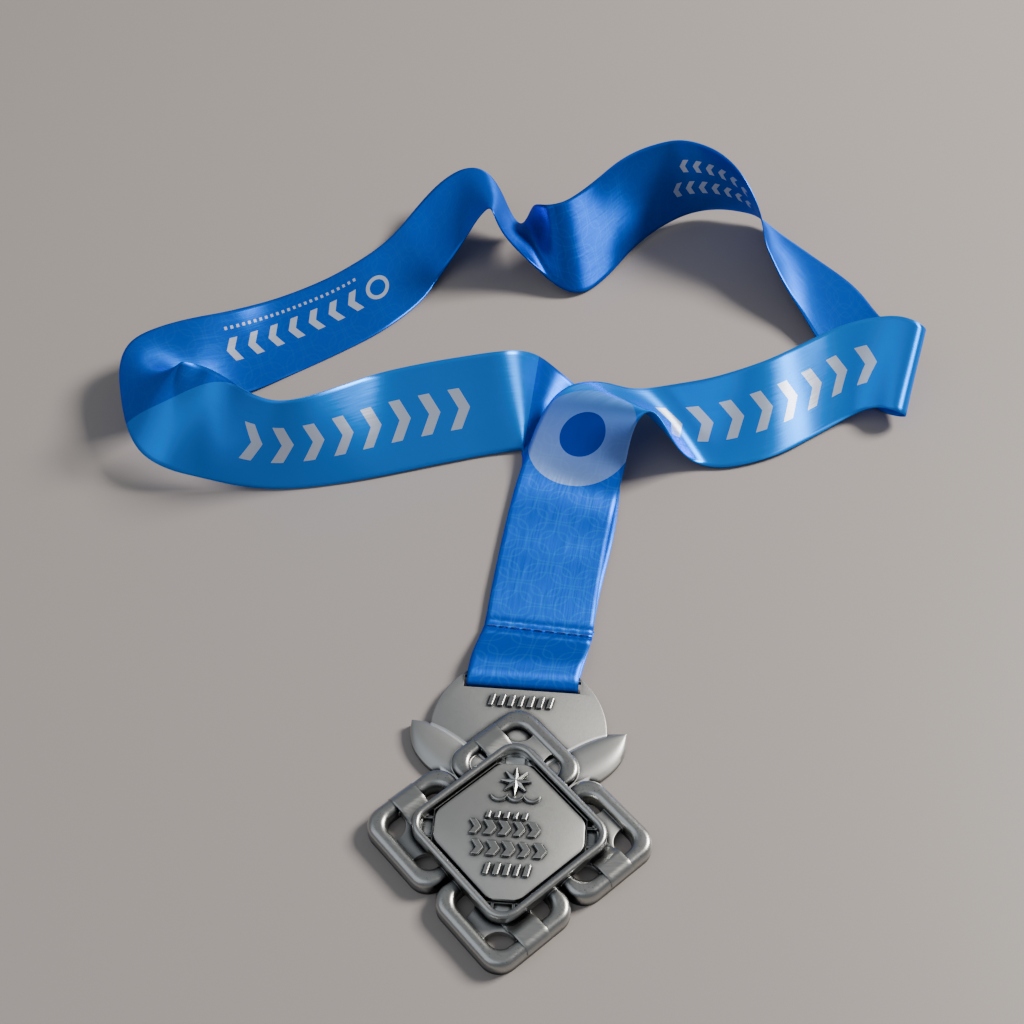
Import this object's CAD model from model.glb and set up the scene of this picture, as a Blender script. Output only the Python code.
# Finisher medal in antique silver on a printed satin neck ribbon, laid face up on a pale table.
# The CAD frame gives every place. Lengths in the dictionaries are millimetres from the medal's
# middle, and the ribbon's route is the one that the CAD solids follow.
import math

import bmesh
import bpy
import numpy as np
from mathutils import Matrix, Vector, noise


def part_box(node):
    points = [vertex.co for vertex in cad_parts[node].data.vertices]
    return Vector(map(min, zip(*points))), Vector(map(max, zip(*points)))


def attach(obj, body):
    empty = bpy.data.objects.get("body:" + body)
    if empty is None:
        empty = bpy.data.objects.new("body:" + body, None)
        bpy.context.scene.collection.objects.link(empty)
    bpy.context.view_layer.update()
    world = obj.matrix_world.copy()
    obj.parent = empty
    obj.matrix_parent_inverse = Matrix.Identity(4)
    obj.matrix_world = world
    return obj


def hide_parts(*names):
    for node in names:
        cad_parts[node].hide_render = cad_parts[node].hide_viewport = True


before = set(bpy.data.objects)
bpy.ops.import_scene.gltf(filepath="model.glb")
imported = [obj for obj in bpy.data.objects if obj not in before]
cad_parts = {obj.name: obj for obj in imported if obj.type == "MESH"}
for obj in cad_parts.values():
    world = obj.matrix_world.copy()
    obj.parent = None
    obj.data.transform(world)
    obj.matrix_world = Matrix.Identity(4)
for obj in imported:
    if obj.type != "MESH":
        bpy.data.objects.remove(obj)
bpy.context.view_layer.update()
mm = 0.001
plateLow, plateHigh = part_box("centre_plate")
medalPlace = Vector(((plateLow.x + plateHigh.x) / 2, (plateLow.y + plateHigh.y) / 2, 0.0))
compass = {"north": (0, 1), "east": (1, 0), "south": (0, -1), "west": (-1, 0)}


def hexColour(text):
    # sRGB hex to linear
    parts = [int(text[i : i + 2], 16) / 255 for i in (1, 3, 5)]
    linear = [p / 12.92 if p <= 0.04045 else ((p + 0.055) / 1.055) ** 2.4 for p in parts]
    return (*linear, 1.0)


def addNode(tree, kind, settings=None, inputs=None):
    # inputs by name or number: a value, an output socket, or a node, whose first output is taken
    node = tree.nodes.new("ShaderNode" + kind)
    for key, value in (settings or {}).items():
        setattr(node, key, value)
    for key, value in (inputs or {}).items():
        if isinstance(value, bpy.types.Node):
            tree.links.new(value.outputs[0], node.inputs[key])
        elif isinstance(value, bpy.types.NodeSocket):
            tree.links.new(value, node.inputs[key])
        else:
            node.inputs[key].default_value = value
    return node


def newMaterial(name, settings):
    made = bpy.data.materials.new(name)
    made.use_nodes = True
    shader = made.node_tree.nodes["Principled BSDF"]
    for key, value in settings.items():
        shader.inputs[key].default_value = value
    return made, made.node_tree, shader


def setRamp(node, stops):
    ramp = node.color_ramp
    while len(ramp.elements) > 1:
        ramp.elements.remove(ramp.elements[-1])
    ramp.elements[0].position, ramp.elements[0].color = stops[0]
    for position, value in stops[1:]:
        ramp.elements.new(position).color = value


def roundedSquare(bm, half, corner, segments=10):
    # a flat face: a square that stands on a corner, with round corners
    made = bmesh.ops.create_circle(bm, cap_ends=True, radius=half * math.sqrt(2), segments=4)
    rounded = bmesh.ops.bevel(bm, geom=made["verts"], offset=corner, offset_type="OFFSET",
                             segments=segments, profile=0.5, material=-1, affect="VERTICES")
    return list({face for vert in rounded["verts"] for face in vert.link_faces})


def raiseFaces(bm, faces, height):
    # extrude a flat region upwards and give back its new top faces
    made = bmesh.ops.extrude_face_region(bm, geom=faces, use_keep_orig=True)
    verts = [item for item in made["geom"] if isinstance(item, bmesh.types.BMVert)]
    bmesh.ops.translate(bm, verts=verts, vec=(0, 0, height))
    return [item for item in made["geom"] if isinstance(item, bmesh.types.BMFace)]


def outlineEdges(faces):
    # the edges round the border of a region
    inside = set(faces)
    return [edge for face in faces for edge in face.edges
            if sum(other in inside for other in edge.link_faces) == 1]


def bevelEdges(bm, edges, offset, segments):
    bmesh.ops.bevel(bm, geom=list(set(edges)), offset=offset, offset_type="OFFSET",
                    segments=segments, profile=0.5, material=-1, affect="EDGES",
                    clamp_overlap=True)


def finishPiece(name, bm, material, body, nodes=(), sharp=0.6):
    # the mesh is drawn in millimetres round the medal's middle, and put in its place here
    bmesh.ops.transform(bm, matrix=Matrix.Translation(medalPlace) @ Matrix.Scale(mm, 4),
                        verts=bm.verts)
    bmesh.ops.remove_doubles(bm, verts=bm.verts, dist=0.000002)
    bmesh.ops.recalc_face_normals(bm, faces=bm.faces)
    mesh = bpy.data.meshes.new(name)
    bm.to_mesh(mesh)
    bm.free()
    piece = bpy.data.objects.new(name, mesh)
    bpy.context.scene.collection.objects.link(piece)
    mesh.materials.append(material)
    mesh.shade_smooth()
    mesh.set_sharp_from_angle(angle=sharp)
    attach(piece, body)
    if nodes:
        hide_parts(*nodes)
    return piece


def cutWith(piece, bm):
    # Boolean difference, applied at once
    bmesh.ops.transform(bm, matrix=Matrix.Translation(medalPlace) @ Matrix.Scale(mm, 4),
                        verts=bm.verts)
    bmesh.ops.recalc_face_normals(bm, faces=bm.faces)
    mesh = bpy.data.meshes.new("cutter")
    bm.to_mesh(mesh)
    bm.free()
    cutter = bpy.data.objects.new("cutter", mesh)
    bpy.context.scene.collection.objects.link(cutter)
    modifier = piece.modifiers.new("cut", "BOOLEAN")
    modifier.operation = "DIFFERENCE"
    modifier.solver = "EXACT"
    modifier.object = cutter
    applyModifiers(piece)
    bpy.data.objects.remove(cutter)
    piece.data.set_sharp_from_angle(angle=0.6)


def applyModifiers(piece):
    bpy.context.view_layer.update()
    graph = bpy.context.evaluated_depsgraph_get()
    mesh = bpy.data.meshes.new_from_object(piece.evaluated_get(graph))
    piece.modifiers.clear()
    old = piece.data
    piece.data = mesh
    mesh.name = old.name
    bpy.data.meshes.remove(old)


cameraSetup = {
    "fromMedal": (0.01495, -0.1965, 0.3766),  # metres from the medal's middle
    "down": 51.12,  # degrees below the horizon
    "turn": 4.27,
    "roll": 0.29,
    "lens": 57.9,
}


def makeCamera(setup):
    data = bpy.data.cameras.new("camera")
    data.sensor_width = 36.0
    data.lens = setup["lens"]
    camera = bpy.data.objects.new("camera", data)
    bpy.context.scene.collection.objects.link(camera)
    turn = Matrix.Rotation(math.radians(setup["turn"]), 4, "Z")
    tilt = Matrix.Rotation(math.radians(90 - setup["down"]), 4, "X")
    roll = Matrix.Rotation(math.radians(setup["roll"]), 4, "Z")
    place = Matrix.Translation(medalPlace + Vector(setup["fromMedal"]))
    camera.matrix_world = place @ turn @ tilt @ roll
    bpy.context.scene.camera = camera


makeCamera(cameraSetup)

studio = {
    "floorColour": "#9A9490",
    "floorSize": 6.0,
    "keyPlace": (0.95, 0.5, 0.85),  # behind and to the right, so shadows fall left and forwards
    "keySize": 0.42,
    "keyPower": 36.0,
    "fillPlace": (-0.7, -0.35, 1.1),
    "fillSize": 1.4,
    "fillPower": 5.0,
    "sky": "#C9CDD3",
    "skyStrength": 0.36,
}


def makeLight(name, place, size, power, colourText):
    data = bpy.data.lights.new(name, "AREA")
    data.shape = "SQUARE"
    data.size = size
    data.energy = power
    data.color = hexColour(colourText)[:3]
    light = bpy.data.objects.new(name, data)
    bpy.context.scene.collection.objects.link(light)
    light.location = place
    light.rotation_euler = (-light.location).to_track_quat("-Z", "Y").to_euler()


def makeStudio(setup):
    bm = bmesh.new()
    bmesh.ops.create_grid(bm, x_segments=1, y_segments=1, size=setup["floorSize"] / 2)
    mesh = bpy.data.meshes.new("floor")
    bm.to_mesh(mesh)
    bm.free()
    floor = bpy.data.objects.new("floor", mesh)
    bpy.context.scene.collection.objects.link(floor)
    tile, _, _ = newMaterial("polished stone tile, pale", {
        "Base Color": hexColour(setup["floorColour"]), "Roughness": 0.42})
    mesh.materials.append(tile)
    makeLight("key", setup["keyPlace"], setup["keySize"], setup["keyPower"], "#FFF8F0")
    makeLight("fill", setup["fillPlace"], setup["fillSize"], setup["fillPower"], "#EEF3FF")
    world = bpy.data.worlds.new("studio")
    bpy.context.scene.world = world
    world.use_nodes = True
    background = world.node_tree.nodes["Background"]
    background.inputs["Color"].default_value = hexColour(setup["sky"])
    background.inputs["Strength"].default_value = setup["skyStrength"]


makeStudio(studio)
print("camera, floor and lights made")


ribbon = {
    "width": 30.0,
    "thick": 0.36,
    "step": 0.62,  # between two rows of the mesh, along the ribbon
    "acrossSteps": 22,
    "barY": 48.1,
    "barZ": 2.15,
    "loopRise": 1.85,  # of the loop round the bar, above and below the bar's middle
    "loopReach": 4.2,  # and towards the medal, where it fills the slot
    "returnEnd": 66.2,  # the end under the seam
    "seamY": 64.0,
    "seamShift": 3.0,  # the layers under the seam lie this much to the right of the bar's middle
    "seamTurn": 0.8,  # and their left end is this much further from the bar
    "stitchPuckers": 8,
    "puckerDepth": 0.45,
    "puckerRise": 0.4,  # of the cloth beside the stitches
    "smoothing": 2.4,  # along the route, so that the stations leave no kinks
    "ripple": 0.22,  # height of the faint waves of a ribbon that was wound on a card
    # each station: x, y, z of the edge that starts on the left, then of the other edge
    "route": (
        (-12.0, 64.2, 1.8, 18.0, 62.6, 1.8),
        (-11.2, 76.2, 1.8, 18.7, 74.4, 1.8),
        (-9.4, 97.0, 1.8, 20.4, 94.0, 1.8),
        (-7.2, 115.0, 2.2, 22.6, 111.5, 2.2),
        (-5.3, 124.0, 3.4, 24.3, 119.5, 5.5),
        (-3.2, 132.2, 6.0, 25.4, 124.0, 12.0),
        (-0.6, 138.5, 9.5, 26.5, 127.0, 17.0),
        (2.5, 143.5, 11.5, 28.3, 129.3, 20.0),
        (7.0, 148.0, 12.0, 30.5, 130.6, 21.0),
        (12.0, 149.5, 12.0, 33.1, 130.0, 21.0),
        (17.5, 150.0, 11.5, 35.7, 126.6, 18.5),
        (23.8, 150.6, 8.7, 38.7, 125.2, 13.0),
        (30.4, 153.5, 6.0, 42.3, 127.0, 6.0),
        (37.0, 155.0, 6.5, 47.1, 127.4, 2.0),
        (50.0, 155.0, 11.0, 56.3, 128.1, 1.0),
        (64.5, 159.0, 15.0, 70.3, 134.0, 1.0),
        (76.0, 167.0, 15.0, 82.0, 142.6, 1.0),
        (89.0, 176.0, 15.5, 93.3, 150.3, 3.0),
        (101.6, 179.0, 17.8, 100.1, 151.5, 6.0),
        (109.0, 177.5, 19.5, 104.7, 148.8, 8.0),
        (115.0, 174.5, 18.0, 109.0, 148.8, 6.0),
        (114.5, 179.5, 11.0, 108.0, 151.5, 2.5),
        (110.0, 184.0, 5.5, 102.4, 155.0, 0.8),
        (104.7, 192.6, 4.0, 93.7, 164.9, 0.6),
        (98.8, 206.5, 1.5, 84.0, 180.7, 4.0),
        (91.9, 216.0, 0.8, 78.4, 190.8, 6.5),
        (82.8, 225.0, 0.8, 72.7, 199.0, 10.5),
        (74.5, 232.5, 1.0, 68.4, 206.5, 14.5),
        (68.8, 237.5, 1.8, 66.0, 212.0, 17.0),
        (65.8, 239.5, 3.0, 64.4, 217.5, 23.0),
        (61.0, 240.5, 4.0, 57.6, 227.0, 31.0),
        (54.5, 241.5, 4.0, 50.8, 234.3, 33.0),
        (47.2, 240.9, 3.5, 43.9, 239.0, 32.8),
        (40.8, 238.5, 3.0, 37.2, 240.9, 32.6),
        (34.0, 233.0, 2.6, 30.6, 240.0, 31.7),
        (28.2, 227.0, 2.0, 23.6, 237.8, 30.0),
        (22.4, 219.5, 1.4, 16.8, 234.5, 27.2),
        (17.8, 211.2, 1.0, 10.6, 229.5, 24.0),
        (13.4, 204.5, 0.8, 5.0, 223.5, 22.8),
        (9.0, 200.0, 1.0, -0.2, 218.5, 22.6),
        (3.9, 198.0, 2.2, -5.6, 217.0, 22.4),
        (-3.0, 200.0, 5.5, -9.4, 223.0, 17.5),
        (-10.0, 203.0, 11.0, -11.4, 229.0, 8.0),
        (-18.0, 204.0, 20.0, -14.0, 226.5, 4.5),
        (-21.0, 205.5, 26.0, -17.5, 228.5, 7.5),
        (-22.6, 208.5, 27.5, -21.3, 234.5, 12.5),
        (-24.8, 211.0, 24.0, -26.0, 239.5, 16.0),
        (-27.6, 212.3, 18.5, -31.6, 241.3, 16.6),
        (-30.8, 211.7, 12.0, -37.4, 240.8, 14.5),
        (-34.6, 208.3, 6.5, -43.4, 236.6, 11.4),
        (-38.4, 203.0, 2.8, -49.0, 230.8, 7.4),
        (-44.0, 191.5, 0.8, -57.0, 218.5, 3.8),
        (-54.5, 177.8, 0.5, -68.1, 204.2, 3.4),
        (-67.3, 166.4, 0.5, -80.9, 193.1, 3.0),
        (-79.8, 156.6, 0.5, -92.3, 183.6, 4.8),
        (-91.4, 147.4, 1.2, -102.9, 173.7, 9.0),
        (-101.6, 140.0, 4.5, -113.7, 166.6, 11.6),
        (-107.6, 135.4, 10.0, -123.6, 160.6, 12.4),
        (-109.0, 132.6, 17.5, -130.0, 153.6, 13.0),
        (-108.0, 131.2, 25.0, -131.0, 144.0, 12.6),
        (-106.6, 130.2, 29.6, -128.3, 133.5, 11.8),
        (-105.6, 129.6, 31.0, -124.3, 122.0, 10.5),
        (-103.8, 130.6, 29.6, -118.6, 112.6, 9.4),
        (-98.6, 131.2, 27.2, -109.6, 108.4, 7.4),
        (-92.0, 127.9, 26.2, -100.4, 108.6, 4.2),
        (-84.6, 121.8, 27.8, -90.1, 108.6, 1.6),
        (-76.9, 118.6, 28.6, -79.4, 108.8, 0.8),
        (-69.3, 120.4, 28.6, -69.6, 110.2, 0.6),
        (-60.6, 127.0, 26.6, -58.6, 113.0, 0.6),
        (-49.8, 137.6, 22.6, -46.1, 116.8, 0.8),
        (-35.8, 143.6, 22.2, -31.5, 122.2, 0.8),
        (-22.7, 147.8, 22.2, -18.9, 126.5, 0.8),
        (-14.8, 149.8, 22.4, -11.5, 128.4, 1.2),
        (-8.8, 152.8, 20.2, -6.9, 129.4, 1.4),
        (-4.0, 156.3, 15.6, -6.0, 129.4, 1.2),
        (0.6, 157.6, 9.6, -6.2, 128.9, 0.9),
        (8.0, 154.6, 4.6, -6.6, 128.4, 0.8),
        (16.0, 148.4, 2.2, -6.4, 128.0, 0.8),
        (22.0, 137.0, 1.2, -6.0, 126.0, 1.0),
        (23.6, 118.0, 1.1, -6.3, 116.0, 1.1),
        (22.4, 98.0, 1.1, -7.6, 97.0, 1.1),
        (19.4, 78.0, 1.1, -10.6, 78.0, 1.1),
        (17.6, 61.5, 1.1, -12.4, 61.5, 1.1),
    ),
}


def hermite(points, index, part):
    # a point between two stations, on a curve through all of them
    last = len(points) - 1
    a, b, c, d = (points[min(max(index + shift, 0), last)] for shift in (-1, 0, 1, 2))
    span = np.linalg.norm(c - b)
    leave = (c - a) * span / max(np.linalg.norm(c - a), 1e-6)
    arrive = (d - b) * span / max(np.linalg.norm(d - b), 1e-6)
    square, cube = part**2, part**3
    return (b * (2 * cube - 3 * square + 1) + leave * (cube - 2 * square + part)
            + c * (3 * square - 2 * cube) + arrive * (cube - square))


def resample(pairs, step):
    # pairs of edge points at even distances along the middle of the ribbon
    middle = pairs.reshape(-1, 2, 3).mean(1)
    along = np.concatenate([[0], np.cumsum(np.linalg.norm(np.diff(middle, axis=0), axis=1))])
    count = int(round(along[-1] / step))
    even = np.linspace(0, along[-1], count + 1)
    return np.stack([np.interp(even, along, pairs[:, i]) for i in range(6)], 1), even


def blur(rows, width, step):
    # Gaussian smoothing along the ribbon that leaves both ends where they are
    reach = int(3 * width / step)
    kernel = np.exp(-0.5 * (np.arange(-reach, reach + 1) * step / width) ** 2)
    kernel /= kernel.sum()
    first = 2 * rows[0] - rows[reach:0:-1]
    final = 2 * rows[-1] - rows[-2 : -reach - 2 : -1]
    padded = np.concatenate([first, rows, final])
    return np.stack([np.convolve(padded[:, i], kernel, "valid") for i in range(rows.shape[1])], 1)


def ribbonRows(setup):
    # the two edges, from the end under the seam, round the bar, up the tail and round the loop
    half = setup["width"] / 2
    low = setup["barZ"] - setup["loopRise"]
    start = [(setup["returnEnd"], low), (setup["barY"] + 9, low), (setup["barY"] + 0.3, low)]
    for step in range(1, 16):
        angle = -math.pi / 2 - step * math.pi / 16
        start.append((setup["barY"] + setup["loopReach"] * math.cos(angle),
                      setup["barZ"] + setup["loopRise"] * math.sin(angle)))
    leans = [max(y - setup["barY"], 0) / (setup["seamY"] - setup["barY"]) for y, z in start]
    shift, turn = setup["seamShift"], setup["seamTurn"]
    loop = np.array([(shift * n - half, y + turn * n, z, shift * n + half, y - turn * n, z)
                     for (y, z), n in zip(start, leans)])
    loop, _ = resample(loop, setup["step"] / 2)
    stations = np.array(setup["route"])
    top = setup["barZ"] + setup["loopRise"]
    crest = np.array([(-half, setup["barY"], top, half, setup["barY"], top),
                      (-half + 0.6, setup["barY"] + 5, top - 0.2,
                       half + 0.8, setup["barY"] + 4.4, top - 0.2),
                      (-half + 1.9, setup["barY"] + 11, top - 1.3,
                       half + 2.1, setup["barY"] + 9.6, top - 1.3)])
    stations = np.concatenate([crest, stations])
    fine = [hermite(stations, i, s / 12) for i in range(len(stations) - 1) for s in range(12)]
    fine = np.array(fine + [stations[-1]])
    fine, _ = resample(fine, setup["step"])
    soft = blur(fine, setup["smoothing"], setup["step"])
    # the tail's first stretch keeps its shape over the bar
    ramp = np.clip(np.arange(len(fine)) * setup["step"] / 20 - 0.3, 0, 1)[:, None]
    fine = fine * (1 - ramp) + soft * ramp
    rows, along = resample(np.concatenate([loop, fine]), setup["step"])
    seamPlace = along[np.argmin(np.linalg.norm(rows[:, :3] - stations[3][:3], axis=1)
                                + 100 * (along < 25))]
    return rows, along, seamPlace


def pucker(setup, share, away):
    # the stitches pull the cloth down in a line of small dimples
    if abs(away) > 6:
        return 0.0
    line = math.exp(-((away / 0.9) ** 2))
    beside = math.exp(-(((abs(away) - 1.6) / 1.0) ** 2))
    between = 0.5 - 0.5 * math.cos(2 * math.pi * share * setup["stitchPuckers"])
    dip = setup["puckerDepth"] * line * (0.4 + 0.6 * between)
    return setup["puckerRise"] * beside * between - dip


def makeRibbon(setup, rows, along, seam, material):
    # one strip: its print's U runs across and its V along, both in ribbon widths
    left, right = rows[:, :3], rows[:, 3:]
    lengthwise = np.gradient((left + right) / 2, axis=0)
    normal = np.cross(right - left, lengthwise)
    normal /= np.linalg.norm(normal, axis=1)[:, None]
    bm = bmesh.new()
    bmesh.ops.create_grid(bm, x_segments=setup["acrossSteps"], y_segments=len(rows) - 1, size=0.5)
    uv = bm.loops.layers.uv.new("print")
    for face in bm.faces:
        for corner in face.loops:
            row = round((corner.vert.co.y + 0.5) * (len(rows) - 1))
            corner[uv].uv = (corner.vert.co.x + 0.5, along[row] / setup["width"])
    for vert in bm.verts:
        share = vert.co.x + 0.5
        row = round((vert.co.y + 0.5) * (len(rows) - 1))
        # the waves fade out towards the seam and the bar
        fromStart = min(max((along[row] - 45) / 30, 0), 1)
        fromEnd = min(max((along[-1] - along[row] - 80) / 30, 0), 1)
        wave = noise.noise(Vector((share * 1.3, along[row] / 17, 3.7)))
        lift = setup["ripple"] * 2 * wave * (fromStart * fromEnd)
        lift += pucker(setup, share, along[row] - seam)
        vert.co = Vector(left[row] * (1 - share) + right[row] * share + normal[row] * lift)
    piece = finishPiece("neck_ribbon", bm, material, "ribbon",
                        [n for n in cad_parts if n.startswith("ribbon")], sharp=3.2)
    solid = piece.modifiers.new("cloth thickness", "SOLIDIFY")
    solid.thickness = setup["thick"] * mm
    solid.offset = 0.0
    applyModifiers(piece)


printArt = {
    "tail": "#0458D4",
    "azure": "#0A8AFF",
    "deep": "#055EDA",
    "night": "#0338A6",
    "lattice": "#2378DC",
    "pale": "#B4D2F0",
    "ink": "#E4EEFA",
    "cell": 15.0,  # one loop of the lattice, mm
    "loopRadii": (0.47, 0.27),  # of the nested loops, in cells
    "squareness": 3.2,  # power of the rounded squares: 2 would be circles
    "lineWidth": 0.5,
    "ringPlace": 5.3,  # in stations of the route
    "ringOuter": 16.4,
    "ringInner": 7.0,
    "ringStrength": (0.46, 0.16),  # towards the medal, and away from it
    "bowPlace": 61.0,  # the azure front starts in an arc: the station where that touches the edge
    "bowRadius": 30.5,
    "turnPlace": 74.2,  # and the station where it ends
    "smallRing": (51.75, 16.0, 3.9, 1.5),  # station, across, radius, line
    "inkStrength": 0.85,
    # first station, count, middle across, half height, pitch, share inked, lean
    "marks": (
        (12.3, 8, 15.0, 6.2, 9.4, 0.38, 0.5),
        (65.3, 8, 15.0, 6.0, 9.1, 0.38, 0.5),
        (52.3, 7, 16.0, 4.2, 7.4, 0.36, 0.5),
        (52.1, 24, 24.0, 0.6, 2.1, 0.45, 0.0),
        (29.7, 7, 11.0, 2.7, 4.4, 0.42, 0.5),
        (29.9, 6, 20.0, 2.5, 4.4, 0.42, 0.5),
    ),
    # station where each tone starts, the tone, and how strongly the lattice shows there
    "tones": (
        (0.0, "tail", 0.34), (5.6, "tail", 0.34), (8.0, "azure", 0.0), (18.5, "azure", 0.0),
        (22.0, "deep", 0.22), (34.0, "deep", 0.16), (42.0, "night", 0.1), (46.0, "deep", 0.16),
        (50.0, "deep", 0.22), (60.0, "deep", 0.22), (74.0, "deep", 0.22), (77.0, "tail", 0.22),
    ),
}


def stationPlaces(setup, rows, along):
    # how far along the ribbon each station of the route lies
    middle = (rows[:, :3] + rows[:, 3:]) / 2
    places = []
    start = int(30 / setup["step"])
    for station in setup["route"]:
        target = (np.array(station[:3]) + np.array(station[3:])) / 2
        window = slice(start, start + int(60 / setup["step"]))
        nearest = start + int(np.argmin(np.linalg.norm(middle[window] - target, axis=1)))
        places.append(float(along[nearest]))
        start = nearest
    return places


def satinRibbon(setup, art, places):
    # polyester satin, dye-sublimation printed: the dyed threads tint their own sheen, as a metal
    # does, and bright bands lie across the ribbon where it bends
    made, tree, shader = newMaterial("printed polyester satin", {
        "Metallic": 0.7, "Roughness": 0.34, "Anisotropic": 0.85, "IOR": 1.5,
        "Specular IOR Level": 0.12, "Specular Tint": hexColour("#2E9CFF")})
    width = setup["width"]
    totalLength = places[-1]

    def at(station):
        whole = int(station)
        part = station - whole
        return places[whole] * (1 - part) + places[min(whole + 1, len(places) - 1)] * part

    uv = addNode(tree, "UVMap", {"uv_map": "print"})
    parts = addNode(tree, "SeparateXYZ", None, {0: uv})
    across = addNode(tree, "Math", {"operation": "MULTIPLY"}, {0: parts.outputs[0], 1: width})
    along = addNode(tree, "Math", {"operation": "MULTIPLY"}, {0: parts.outputs[1], 1: width})

    # tone of each stretch
    offMiddle = addNode(tree, "Math", {"operation": "SUBTRACT"}, {0: across, 1: width / 2})
    progress = addNode(tree, "Math", {"operation": "DIVIDE"}, {0: along, 1: totalLength})
    tone = addNode(tree, "ValToRGB", None, {0: progress})
    setRamp(tone, [(at(station) / totalLength, (*hexColour(art[name])[:3], lattice))
                   for station, name, lattice in art["tones"]])
    colour = tone

    # lattice of overlapping rounded loops, in two sets half a cell apart
    for shift in (0.0, 0.5):
        sides = []
        for value in (across, along):
            cells = addNode(tree, "Math", {"operation": "MULTIPLY_ADD"},
                            {0: value, 1: 1 / art["cell"], 2: shift})
            local = addNode(tree, "Math", {"operation": "FRACT"}, {0: cells})
            centred = addNode(tree, "Math", {"operation": "SUBTRACT"}, {0: local, 1: 0.5})
            positive = addNode(tree, "Math", {"operation": "ABSOLUTE"}, {0: centred})
            sides.append(addNode(tree, "Math", {"operation": "POWER"},
                                 {0: positive, 1: art["squareness"]}))
        summed = addNode(tree, "Math", {"operation": "ADD"}, {0: sides[0], 1: sides[1]})
        reach = addNode(tree, "Math", {"operation": "POWER"}, {0: summed, 1: 1 / art["squareness"]})
        for radius in art["loopRadii"]:
            line = addNode(tree, "Math", {"operation": "COMPARE"},
                           {0: reach, 1: radius, 2: art["lineWidth"] / 2 / art["cell"]})
            strength = addNode(tree, "Math", {"operation": "MULTIPLY"},
                               {0: line, 1: tone.outputs["Alpha"]})
            colour = addNode(tree, "MixRGB", None,
                             {0: strength, 1: colour, 2: hexColour(art["lattice"])})

    # the azure front starts in a wide arc, and ends in a straight line at the turn
    bowMiddle = at(art["bowPlace"]) + art["bowRadius"]
    fromBow = addNode(tree, "Math", {"operation": "SUBTRACT"}, {0: along, 1: bowMiddle})
    acrossBow = addNode(tree, "Math", {"operation": "SUBTRACT"}, {0: across, 1: width})
    flat = addNode(tree, "CombineXYZ", None, {0: acrossBow, 1: fromBow})
    reach = addNode(tree, "VectorMath", {"operation": "LENGTH"}, {0: flat}).outputs["Value"]
    inBow = addNode(tree, "Math", {"operation": "LESS_THAN"}, {0: reach, 1: art["bowRadius"]})
    half = (at(art["turnPlace"]) - bowMiddle) / 2
    stretch = addNode(tree, "Math", {"operation": "COMPARE"},
                      {0: along, 1: bowMiddle + half, 2: half})
    front = addNode(tree, "Math", {"operation": "MAXIMUM"}, {0: inBow, 1: stretch})
    colour = addNode(tree, "MixRGB", None, {0: front, 1: colour, 2: hexColour(art["azure"])})

    # pale ring with a dark middle, wider than the ribbon, and paler towards the medal
    fromRing = addNode(tree, "Math", {"operation": "SUBTRACT"}, {0: along, 1: at(art["ringPlace"])})
    flat = addNode(tree, "CombineXYZ", None, {0: offMiddle, 1: fromRing})
    radius = addNode(tree, "VectorMath", {"operation": "LENGTH"}, {0: flat}).outputs["Value"]
    middle = (art["ringOuter"] + art["ringInner"]) / 2
    band = addNode(tree, "Math", {"operation": "COMPARE"},
                   {0: radius, 1: middle, 2: art["ringOuter"] - middle})
    near, far = art["ringStrength"]
    fade = addNode(tree, "MapRange", None, {"Value": fromRing, "From Min": -art["ringOuter"],
                                            "From Max": art["ringOuter"], "To Min": near,
                                            "To Max": far})
    bandStrength = addNode(tree, "Math", {"operation": "MULTIPLY"}, {0: band, 1: fade})
    colour = addNode(tree, "MixRGB", None, {0: bandStrength, 1: colour, 2: hexColour(art["pale"])})
    core = addNode(tree, "Math", {"operation": "LESS_THAN"}, {0: radius, 1: art["ringInner"]})
    colour = addNode(tree, "MixRGB", None, {0: core, 1: colour, 2: hexColour(art["night"])})

    # a small plain ring beside the chevrons of the back
    place, row, size, line = art["smallRing"]
    off = addNode(tree, "Math", {"operation": "SUBTRACT"}, {0: across, 1: row})
    fromMark = addNode(tree, "Math", {"operation": "SUBTRACT"}, {0: along, 1: at(place)})
    flat = addNode(tree, "CombineXYZ", None, {0: off, 1: fromMark})
    radius = addNode(tree, "VectorMath", {"operation": "LENGTH"}, {0: flat}).outputs["Value"]
    inked = addNode(tree, "Math", {"operation": "COMPARE"}, {0: radius, 1: size, 2: line / 2})

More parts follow.
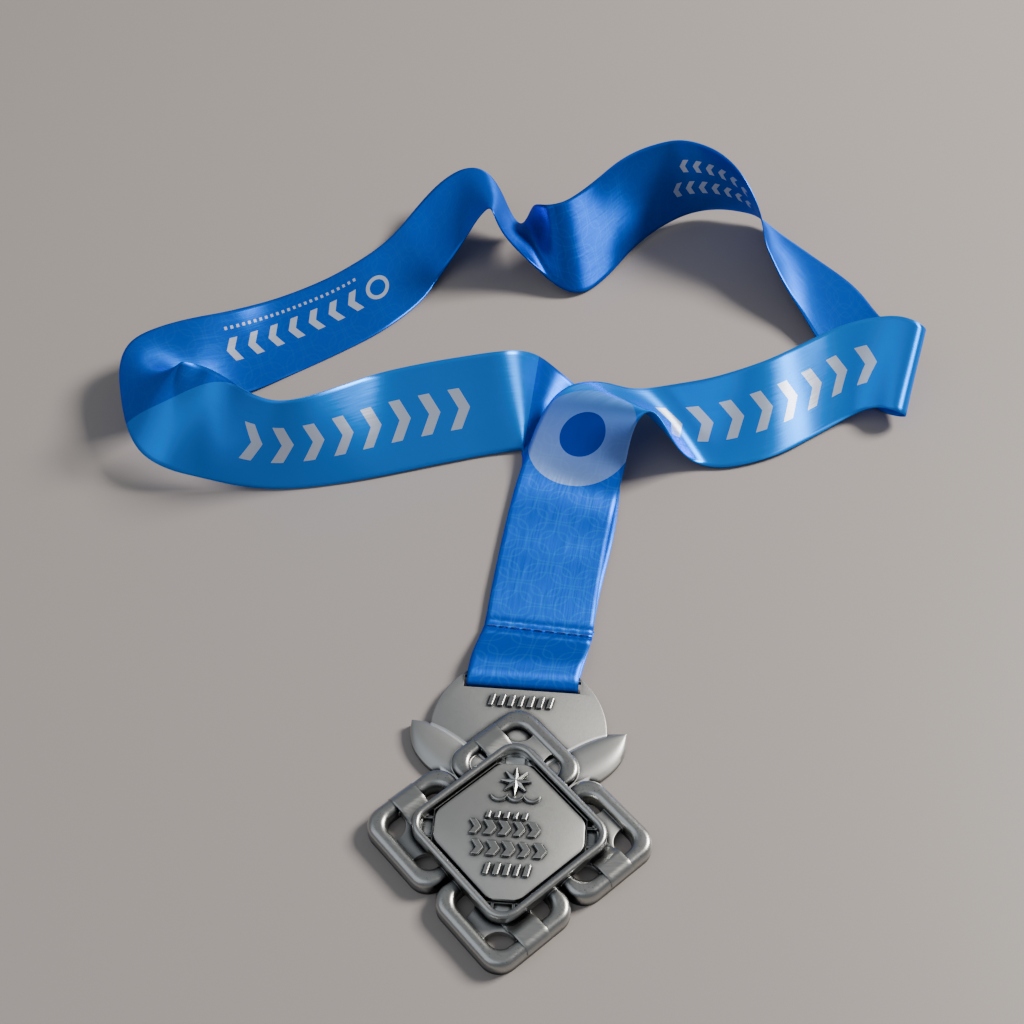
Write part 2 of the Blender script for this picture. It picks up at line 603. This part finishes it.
    # rows of plain chevrons in place of lettering
    for first, count, row, half, pitch, inkShare, lean in art["marks"]:
        inRow = addNode(tree, "Math", {"operation": "COMPARE"}, {0: across, 1: row, 2: half})
        off = addNode(tree, "Math", {"operation": "SUBTRACT"}, {0: across, 1: row})
        fold = addNode(tree, "Math", {"operation": "ABSOLUTE"}, {0: off})
        leaning = addNode(tree, "Math", {"operation": "MULTIPLY_ADD"}, {0: fold, 1: lean, 2: along})
        started = addNode(tree, "Math", {"operation": "SUBTRACT"}, {0: leaning, 1: at(first)})
        turns = addNode(tree, "Math", {"operation": "DIVIDE"}, {0: started, 1: pitch})
        inBlock = addNode(tree, "Math", {"operation": "COMPARE"},
                          {0: turns, 1: count / 2, 2: count / 2})
        phase = addNode(tree, "Math", {"operation": "FRACT"}, {0: turns})
        stroke = addNode(tree, "Math", {"operation": "LESS_THAN"}, {0: phase, 1: inkShare})
        inside = addNode(tree, "Math", {"operation": "MULTIPLY"}, {0: inBlock, 1: inRow})
        mark = addNode(tree, "Math", {"operation": "MULTIPLY"}, {0: inside, 1: stroke})
        inked = addNode(tree, "Math", {"operation": "MAXIMUM"}, {0: inked, 1: mark})
    strength = addNode(tree, "Math", {"operation": "MULTIPLY"}, {0: inked, 1: art["inkStrength"]})
    colour = addNode(tree, "MixRGB", None, {0: strength, 1: colour, 2: hexColour(art["ink"])})
    tree.links.new(colour.outputs[0], shader.inputs["Base Color"])

    # warp threads: 0.1 mm on the real cloth, drawn 0.5 mm wide and 10 mm long so that they show
    threads = addNode(tree, "CombineXYZ", None, {0: across, 1: 0.0})
    stretched = addNode(tree, "Math", {"operation": "MULTIPLY"}, {0: along, 1: 0.05})
    tree.links.new(stretched.outputs[0], threads.inputs[1])
    weave = addNode(tree, "TexNoise", None, {"Vector": threads, "Scale": 2.0, "Detail": 3.0})
    rough = addNode(tree, "MapRange", None, {"Value": weave, "To Min": 0.24, "To Max": 0.46})
    tree.links.new(rough.outputs[0], shader.inputs["Roughness"])
    bump = addNode(tree, "Bump", None, {"Height": weave, "Strength": 0.25, "Distance": 0.0001})
    tree.links.new(bump.outputs[0], shader.inputs["Normal"])
    tangent = addNode(tree, "Tangent", {"direction_type": "UV_MAP", "uv_map": "print"})
    tree.links.new(tangent.outputs[0], shader.inputs["Tangent"])
    return made


rows, along, seam = ribbonRows(ribbon)
satin = satinRibbon(ribbon, printArt, stationPlaces(ribbon, rows, along))
makeRibbon(ribbon, rows, along, seam, satin)
print(f"neck ribbon made, {along[-1]:.0f} mm of it")


silver = {
    "bright": "#DCDEDC",
    "body": "#ADAFAD",
    "middle": "#5E6062",
    "patina": "#17181A",
    # roughness, scale of the fine marks, reach of the patina in mm, and how open to the light a
    # spot is where it is black and where it is clean
    "burnished": (0.28, 2600.0, 1.8, 0.64, 0.98),
    "bead blasted": (0.42, 3600.0, 1.9, 0.72, 1.0),
    "tumbled": (0.28, 2600.0, 3.0, 0.64, 0.98),
}


def antiqueSilver(setup, finish):
    # zinc alloy casting, antique silver plated and relieved: black in the recesses and along the
    # foot of every raised edge, bright where the edges were rubbed
    roughness, grain, depth, dark, light = setup[finish]
    made, tree, shader = newMaterial(f"antique silver, {finish}",
                                     {"Metallic": 1.0, "Roughness": roughness})
    place = addNode(tree, "TexCoord").outputs["Object"]
    recess = addNode(tree, "AmbientOcclusion", {"samples": 8}, {"Distance": depth * mm})
    edges = addNode(tree, "AmbientOcclusion", {"samples": 8, "inside": True},
                    {"Distance": 0.4 * mm})
    # stains of the black dip, about 5 mm across
    blotches = addNode(tree, "TexNoise", None, {"Vector": place, "Scale": 200.0, "Detail": 5.0})
    shade = addNode(tree, "Math", {"operation": "MULTIPLY_ADD"},
                    {0: blotches, 1: 0.12, 2: recess.outputs["AO"]})
    dirt = addNode(tree, "ValToRGB", None, {0: shade})
    setRamp(dirt, [(dark, hexColour(setup["patina"])),
                   ((dark + light) / 2, hexColour(setup["middle"])),
                   (light, hexColour(setup["body"]))])
    worn = addNode(tree, "MapRange", None,
                   {"Value": edges.outputs["AO"], "From Min": 0.78, "From Max": 0.45})
    colour = addNode(tree, "MixRGB", None, {0: worn, 1: dirt, 2: hexColour(setup["bright"])})
    tree.links.new(colour.outputs[0], shader.inputs["Base Color"])
    # tumbling marks about 0.3 mm across
    fine = addNode(tree, "TexNoise", None, {"Vector": place, "Scale": grain, "Detail": 5.0})
    rough = addNode(tree, "MapRange", None, {"Value": fine, "To Min": roughness - 0.08,
                                             "To Max": roughness + 0.14})
    tree.links.new(rough.outputs[0], shader.inputs["Roughness"])
    bump = addNode(tree, "Bump", None, {"Height": fine, "Strength": 0.35, "Distance": 0.00004})
    tree.links.new(bump.outputs[0], shader.inputs["Normal"])
    return made


polished = antiqueSilver(silver, "burnished")
blasted = antiqueSilver(silver, "bead blasted")
ringMetal = antiqueSilver(silver, "tumbled")

links = {
    "centre": 19.35,
    "half": 13.4,
    "corner": 5.6,
    "holeCorner": 3.4,
    "bead": 4.2,
    "top": 4.8,
    "northFoot": 3.2,
    "webBottom": 1.2,
    "webTop": 3.0,
    "webCorner": 1.6,
    "lensRadius": 4.6,
    "lensCentre": 11.5,
}
strap = {
    "width": 7.3,
    "thick": 0.75,
    "start": -8.4,  # its cut end, from the ring's middle
    "end": 13.75,  # where it folds down over the ring's outer side
    "riseFrom": 4.6,
    "riseLength": 4.2,
    "foldFrom": 11.2,
    "drop": 2.4,
    "side": {"north": 135, "west": 135, "south": -45, "east": -45},
}
tray = {
    "half": 19.1,
    "corner": 6.0,
    "frameWidth": 2.0,
    "bottom": 3.5,
    "floor": 4.2,
    "ridge": 7.0,
    "windowFrom": 19.4,  # from the middle
    # offset to the side, half width and depth of the three windows in each corner
    "windows": ((0.0, 2.3, 2.6), (4.0, 1.1, 1.4), (-4.0, 1.1, 1.4)),
}


def underTray():
    # the space that the centre tray takes, with a hair's gap
    bm = bmesh.new()
    faces = roundedSquare(bm, tray["half"] + 0.15, tray["corner"])
    raiseFaces(bm, faces, 8.0)
    bmesh.ops.translate(bm, verts=bm.verts, vec=(0, 0, tray["bottom"] - 0.2))
    return bm


def ringPlace(direction):
    return Vector(compass[direction]).to_3d() * links["centre"]


def ringFoot(direction):
    return links["northFoot"] if direction == "north" else 0.0


def makeRing(direction, material):
    # the hole's corners are rounder than an even width would leave them
    bm = bmesh.new()
    roundedSquare(bm, links["half"], links["corner"], 14)
    roundedSquare(bm, links["half"] - links["bead"], links["holeCorner"], 14)
    bmesh.ops.delete(bm, geom=bm.faces[:], context="FACES_ONLY")
    bmesh.ops.bridge_loops(bm, edges=bm.edges[:])
    foot = ringFoot(direction)
    tops = raiseFaces(bm, bm.faces[:], links["top"] - foot)
    bevelEdges(bm, outlineEdges(tops), min(1.75, links["top"] - foot - 0.1), 7)
    bmesh.ops.translate(bm, verts=bm.verts, vec=ringPlace(direction) + Vector((0, 0, foot)))
    ring = finishPiece(f"ring_{direction}", bm, material, "medal",
                       [f"link_ring_{direction}"])
    cutWith(ring, underTray())


def makeWeb(direction, material):
    bm = bmesh.new()
    faces = roundedSquare(bm, links["half"] - links["bead"] + 0.5, links["webCorner"], 4)
    foot = ringFoot(direction) + 0.05 if direction == "north" else links["webBottom"]
    top = max(links["webTop"], foot + 0.8)
    raiseFaces(bm, faces, top - foot)
    bmesh.ops.translate(bm, verts=bm.verts, vec=ringPlace(direction) + Vector((0, 0, foot)))
    web = finishPiece(f"web_{direction}", bm, material, "medal",
                      [f"link_web_{direction}"])
    holes = bmesh.new()
    for quarter in range(4):
        angle = quarter * math.pi / 2
        outward = Vector((math.cos(angle), math.sin(angle), 0))
        spot = ringPlace(direction) + outward * links["lensCentre"]
        bmesh.ops.create_cone(holes, cap_ends=True, segments=48, radius1=links["lensRadius"],
                              radius2=links["lensRadius"], depth=14.0,
                              matrix=Matrix.Translation(spot))
    cutWith(web, holes)
    cutWith(web, underTray())
    soften(web, 0.45, 3)


def soften(piece, width, segments):
    # rounded edges, as a casting has
    modifier = piece.modifiers.new("rounded edges", "BEVEL")
    modifier.width = width * mm
    modifier.segments = segments
    modifier.limit_method = "ANGLE"
    modifier.angle_limit = 0.6
    applyModifiers(piece)
    piece.data.shade_smooth()
    piece.data.set_sharp_from_angle(angle=0.7)


def strapHeight(x, direction):
    # top of the strap, from its cut end under the far side to its fold over the ring
    rest = max(links["webTop"], ringFoot(direction) + 0.85) + 0.35
    crown = links["top"] + 0.25
    rise = min(max((x - strap["riseFrom"]) / strap["riseLength"], 0), 1)
    rise = rise * rise * (3 - 2 * rise)
    fall = max(x - strap["foldFrom"], 0) / (strap["end"] - strap["foldFrom"])
    drop = strap["drop"] * (1 - math.sqrt(max(1 - min(fall, 1) ** 2, 0)))
    sag = 0.18 * math.cos((x + 2) / 3.2) * (1 - rise)
    return rest + (crown - rest) * rise - drop + sag


def makeStrap(direction, material):
    bm = bmesh.new()
    bmesh.ops.create_grid(bm, x_segments=90, y_segments=8, size=0.5)
    start, end = strap["start"], strap["end"]
    for vert in bm.verts:
        share = vert.co.x + 0.5
        side = vert.co.y * 2
        x = start + (end - start) * share
        if x - start < 1.4:  # the corners of the cut end are clipped
            x += 1.1 * max(abs(side) - 0.7, 0) / 0.3 * (1 - (x - start) / 1.4)
        waist = 1 - 0.07 * math.exp(-(((x - 4.5) / 2.5) ** 2))
        vert.co = Vector((x, side * strap["width"] / 2 * waist, strapHeight(x, direction)))
    turn = Matrix.Rotation(math.radians(strap["side"][direction]), 4, "Z")
    bmesh.ops.transform(bm, matrix=Matrix.Translation(ringPlace(direction)) @ turn, verts=bm.verts)
    piece = finishPiece(f"strap_{direction}", bm, material, "medal")
    solid = piece.modifiers.new("strap thickness", "SOLIDIFY")
    solid.thickness = strap["thick"] * mm
    solid.offset = -1.0
    applyModifiers(piece)
    cutWith(piece, underTray())
    soften(piece, 0.12, 2)


def brushedSilver(name, setup):
    # the same plating, linished with a belt: fine parallel scratches
    made, tree, shader = newMaterial(name, {"Metallic": 1.0, "Roughness": 0.33})
    place = addNode(tree, "TexCoord").outputs["Object"]
    turned = addNode(tree, "Mapping", None, {"Vector": place, "Rotation": (0, 0, math.radians(-45)),
                                             "Scale": (250.0, 4200.0, 400.0)})
    lines = addNode(tree, "TexNoise", None, {"Vector": turned, "Scale": 1.0, "Detail": 3.0})
    recess = addNode(tree, "AmbientOcclusion", {"samples": 8}, {"Distance": 1.2 * mm})
    shade = addNode(tree, "Math", {"operation": "MULTIPLY_ADD"},
                    {0: lines, 1: 0.3, 2: recess.outputs["AO"]})
    colour = addNode(tree, "ValToRGB", None, {0: shade})
    setRamp(colour, [(0.55, hexColour(setup["patina"])), (0.88, hexColour(setup["middle"])),
                     (1.0, hexColour(setup["body"]))])
    tree.links.new(colour.outputs[0], shader.inputs["Base Color"])
    rough = addNode(tree, "MapRange", None, {"Value": lines, "To Min": 0.2, "To Max": 0.46})
    tree.links.new(rough.outputs[0], shader.inputs["Roughness"])
    return made


brushed = brushedSilver("antique silver, linished", silver)
for direction in compass:
    makeRing(direction, ringMetal)
    makeWeb(direction, blasted)
    makeStrap(direction, brushed)
print("link rings, webs and straps made")


disc = {
    "radius": 23.35,
    "y": 30.65,
    "bottom": 1.4,
    "top": 2.9,
    "flatTop": 49.3,
    "slotHalf": 15.7,
    "slotLow": 43.0,
    "slotHigh": 46.9,
}
petal = {
    "bottom": 0.4,
    "top": 3.7,
    "edge": 2.2,
    "upper": ((6.0, 20.0), (19.5, 33.4), (28.4, 31.6)),
    "lower": ((12.0, 12.0), (30.2, 20.0), (28.4, 31.6)),
}


def makeDisc(setup, material):
    bm = bmesh.new()
    bmesh.ops.create_circle(bm, cap_ends=True, radius=setup["radius"], segments=160)
    tops = raiseFaces(bm, bm.faces[:], setup["top"] - setup["bottom"])
    bevelEdges(bm, outlineEdges(tops), 0.35, 3)
    bmesh.ops.translate(bm, verts=bm.verts, vec=(0, setup["y"], setup["bottom"]))
    cut = bmesh.ops.bisect_plane(bm, geom=bm.verts[:] + bm.edges[:] + bm.faces[:],
                                 plane_co=(0, setup["flatTop"], 0), plane_no=(0, 1, 0),
                                 clear_outer=True)
    rim = [item for item in cut["geom_cut"] if isinstance(item, bmesh.types.BMEdge)]
    bmesh.ops.edgenet_fill(bm, edges=rim)
    piece = finishPiece("hanger_plate", bm, material, "medal", ["hanger_disc"])
    slot = bmesh.new()
    size = (2 * setup["slotHalf"], setup["slotHigh"] - setup["slotLow"], 9.0)
    spot = Vector((0, (setup["slotHigh"] + setup["slotLow"]) / 2, 2.0))
    bmesh.ops.create_cube(slot, size=1.0,
                          matrix=Matrix.Translation(spot) @ Matrix.Diagonal((*size, 1.0)))
    cutWith(piece, slot)


def curvePoint(points, part):
    a, b, c = (Vector(p) for p in points)
    return a.lerp(b, part).lerp(b.lerp(c, part), part)


def makePetal(side, name, setup, material):
    # a domed leaf: its skin is a grid between its two edge curves, closed by a skirt and a base
    bm = bmesh.new()
    bmesh.ops.create_grid(bm, x_segments=16, y_segments=36, size=0.5)
    for vert in bm.verts:
        acrossShare, run = vert.co.x + 0.5, vert.co.y + 0.5
        low = curvePoint(setup["lower"], run)
        high = curvePoint(setup["upper"], run)
        spot = low.lerp(high, acrossShare)
        dome = 1 - abs(2 * acrossShare - 1) ** 3.2
        height = setup["edge"] + (setup["top"] - setup["edge"]) * dome * (1 - 0.5 * run**4)
        vert.co = Vector((spot.x * side, spot.y, height))
    border = [edge for edge in bm.edges if edge.is_boundary]
    skirt = bmesh.ops.extrude_edge_only(bm, edges=border)
    lower = [item for item in skirt["geom"] if isinstance(item, bmesh.types.BMVert)]
    for vert in lower:
        vert.co.z = setup["bottom"]
    bmesh.ops.remove_doubles(bm, verts=bm.verts, dist=0.001)
    bmesh.ops.holes_fill(bm, edges=[edge for edge in bm.edges if edge.is_boundary])
    finishPiece(name, bm, material, "medal",
                ["leaf_left" if side < 0 else "leaf_right"], sharp=0.8)


makeDisc(disc, blasted)
makePetal(-1, "petal_left", petal, blasted)
makePetal(1, "petal_right", petal, blasted)
print("hanger disc and petals made")


plate = {
    "half": 16.2,
    "cut": 5.6,
    "bottom": 4.5,
    "top": 5.4,
    "relief": 0.7,
    # count, pitch, middle x, middle y, height, and the fold of a chevron
    "rows": ((5, 2.3, -1.0, 3.7, 1.7, 0.0), (5, 3.7, -1.2, 0.1, 3.9, 1.3),
             (5, 3.9, 0.2, -5.6, 3.9, 1.3), (5, 2.5, 0.2, -11.2, 3.0, 0.0)),
    "discRow": (7, 2.6, 0.0, 39.2, 3.3, 0.0),
    "star": (0.6, 13.6, 4.0, 1.5, 8),  # x, y, outer and inner radius, points
    "waves": (-3.4, 0.8, 5.0),  # middles of the arcs under the star
    "waveY": 10.4,
    "waveRadius": 2.3,
    "waveWidth": 0.9,
}


def makeTray(setup, material):
    bm = bmesh.new()
    middle = roundedSquare(bm, setup["half"], setup["corner"], 16)
    bmesh.ops.inset_region(bm, faces=middle, thickness=setup["frameWidth"], use_even_offset=True,
                           use_boundary=True)
    bmesh.ops.delete(bm, geom=middle, context="FACES")
    tops = raiseFaces(bm, bm.faces[:], setup["ridge"] - setup["bottom"])
    bevelEdges(bm, outlineEdges(tops), 0.92, 6)
    bmesh.ops.translate(bm, verts=bm.verts, vec=(0, 0, setup["bottom"]))
    finishPiece("tray_frame", bm, material, "medal", ["centre_tray"])
    bm = bmesh.new()
    inset = setup["frameWidth"] - 0.3
    faces = roundedSquare(bm, setup["half"] - inset, setup["corner"] - inset)
    raiseFaces(bm, faces, setup["floor"] - setup["bottom"])
    bmesh.ops.translate(bm, verts=bm.verts, vec=(0, 0, setup["bottom"]))
    floor = finishPiece("tray_floor", bm, material, "medal")
    windows = bmesh.new()
    for quarter in range(4):
        turn = Matrix.Rotation(quarter * math.pi / 2, 4, "Z")
        for aside, half, depth in setup["windows"]:
            spot = Matrix.Translation((setup["windowFrom"] + depth / 2, aside, 4.0))
            size = Matrix.Diagonal((depth, 2 * half, 3.0, 1.0))
            bmesh.ops.create_cube(windows, size=1.0, matrix=turn @ spot @ size)
    cutWith(floor, windows)


def makePlate(setup, material):
    bm = bmesh.new()
    roundedSquare(bm, setup["half"], setup["cut"], 1)
    bmesh.ops.bevel(bm, geom=bm.verts[:], offset=1.6, offset_type="OFFSET", segments=5,
                    profile=0.5, material=-1, affect="VERTICES")
    tops = raiseFaces(bm, bm.faces[:], setup["top"] - setup["bottom"])
    bevelEdges(bm, outlineEdges(tops), 0.3, 3)
    bmesh.ops.translate(bm, verts=bm.verts, vec=(0, 0, setup["bottom"]))
    finishPiece("face_plate", bm, material, "medal", ["centre_plate"])


def addBars(bm, rows, surface, height):
    # raised marks with crisp edges, in place of lettering: slanted bars, or chevrons where the
    # row has a fold
    for count, pitch, middle, y, tall, fold in rows:
        for index in range(count):
            wide = pitch * (0.56 if index % 3 else 0.46)  # two widths, so that rows look set
            x = middle + (index - (count - 1) / 2) * pitch
            mark = bmesh.ops.create_grid(bm, x_segments=1, y_segments=2, size=0.5)
            faces = list({face for vert in mark["verts"] for face in vert.link_faces})
            for vert in mark["verts"]:
                side = vert.co.y * 2
                lean = fold * (0.5 - abs(side)) if fold else 0.22 * side * tall / 2
                vert.co = Vector((x + vert.co.x * wide + lean, y + vert.co.y * tall, surface - 0.1))
            tops = raiseFaces(bm, faces, height + 0.1)
            bevelEdges(bm, outlineEdges(tops), 0.13, 2)


def addStar(bm, x, y, outer, inner, points, surface, height):
    star = bmesh.ops.create_circle(bm, cap_ends=True, radius=outer, segments=2 * points)
    face = star["verts"][0].link_faces[0]
    for index, vert in enumerate(star["verts"]):
        if index % 2:
            vert.co *= inner / outer
    made = bmesh.ops.extrude_face_region(bm, geom=[face])
    tops = [item for item in made["geom"] if isinstance(item, bmesh.types.BMVert)]
    bmesh.ops.translate(bm, verts=tops, vec=(0, 0, height + 0.1))
    for face in [item for item in made["geom"] if isinstance(item, bmesh.types.BMFace)]:
        peak = bmesh.ops.poke(bm, faces=[face])["verts"]
        bmesh.ops.translate(bm, verts=peak, vec=(0, 0, 0.45))
    verts = set(star["verts"]) | set(tops) | set(peak)
    bmesh.ops.translate(bm, verts=list(verts), vec=(x, y, surface - 0.1))


def addWave(bm, x, y, radius, wide, surface, height):
    # a raised hanging arc that tapers to both ends
    grid = bmesh.ops.create_grid(bm, x_segments=28, y_segments=4, size=0.5)
    for vert in grid["verts"]:
        run, side = vert.co.x + 0.5, vert.co.y * 2
        angle = math.radians(200 + 140 * run)
        taper = math.sin(math.pi * min(max(run, 0.02), 0.98)) ** 0.7
        reach = radius + side * wide / 2 * taper
        crown = height * (1 - 0.5 * side * side)
        vert.co = Vector((x + reach * math.cos(angle), y + reach * math.sin(angle),
                          surface + crown))
    border = [e for e in bm.edges if e.is_boundary and e.verts[0] in set(grid["verts"])]
    skirt = bmesh.ops.extrude_edge_only(bm, edges=border)
    lower = [item for item in skirt["geom"] if isinstance(item, bmesh.types.BMVert)]
    for vert in lower:
        vert.co.z = surface - 0.1
    bmesh.ops.holes_fill(bm, edges=[e for e in bm.edges if e.is_boundary])


def makeRelief(setup, material):
    bm = bmesh.new()
    surface, height = setup["top"], setup["relief"]
    addBars(bm, setup["rows"], surface, height)
    addStar(bm, *setup["star"], surface, height)
    for x in setup["waves"]:
        addWave(bm, x, setup["waveY"], setup["waveRadius"], setup["waveWidth"], surface, height)
    finishPiece("plate_relief", bm, material, "medal", sharp=0.3)
    bm = bmesh.new()
    addBars(bm, [setup["discRow"]], disc["top"], height)
    finishPiece("disc_relief", bm, material, "medal", sharp=0.3)


makeTray(tray, polished)
makePlate(plate, blasted)
makeRelief(plate, polished)
print("centre tray, plate and relief made")


seamThread = {
    "stitches": 9,
    "stitchShare": 0.76,  # of the pitch
    "radius": 0.17,
    "lift": 0.16,
    "colour": "#0A2A78",
}


def makeThread(setup, rows, along, seam):
    # one lockstitch line across the tail: short stitches that dive into the cloth
    row = int(np.argmin(np.abs(along - seam)))
    left, right = Vector(rows[row][:3]), Vector(rows[row][3:])
    data = bpy.data.curves.new("seam_stitches", "CURVE")
    data.dimensions = "3D"
    data.bevel_depth = setup["radius"] * mm
    data.bevel_resolution = 3
    data.use_fill_caps = True
    for index in range(setup["stitches"]):
        spline = data.splines.new("POLY")
        spline.points.add(6)
        for step, point in enumerate(spline.points):
            gap = (1 - setup["stitchShare"]) / 2
            share = (index + gap + setup["stitchShare"] * step / 6) / setup["stitches"]
            spot = left.lerp(right, 0.02 + 0.96 * share)
            spot.z += setup["lift"] * (0.4 + math.sin(math.pi * step / 6)) + 0.05
            point.co = (*(medalPlace + spot * mm), 1.0)
    curve = bpy.data.objects.new("stitchCurve", data)
    bpy.context.scene.collection.objects.link(curve)
    bpy.context.view_layer.update()
    graph = bpy.context.evaluated_depsgraph_get()
    mesh = bpy.data.meshes.new_from_object(curve.evaluated_get(graph))
    bpy.data.objects.remove(curve)
    piece = bpy.data.objects.new("seam_stitches", mesh)
    bpy.context.scene.collection.objects.link(piece)
    made, tree, shader = newMaterial("polyester sewing thread, navy", {
        "Base Color": hexColour(setup["colour"]), "Roughness": 0.6, "Sheen Weight": 0.3})
    place = addNode(tree, "TexCoord").outputs["Object"]
    # the twist of the thread, 0.4 mm long
    twist = addNode(tree, "TexWave", {"bands_direction": "DIAGONAL"},
                    {"Vector": place, "Scale": 800.0, "Distortion": 0.6})
    bump = addNode(tree, "Bump", None, {"Height": twist, "Strength": 0.5, "Distance": 0.00005})
    tree.links.new(bump.outputs[0], shader.inputs["Normal"])
    mesh.materials.clear()
    mesh.materials.append(made)
    mesh.shade_smooth()
    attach(piece, "ribbon")
    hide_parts("seam_thread")


makeThread(seamThread, rows, along, seam)
print("seam thread made")
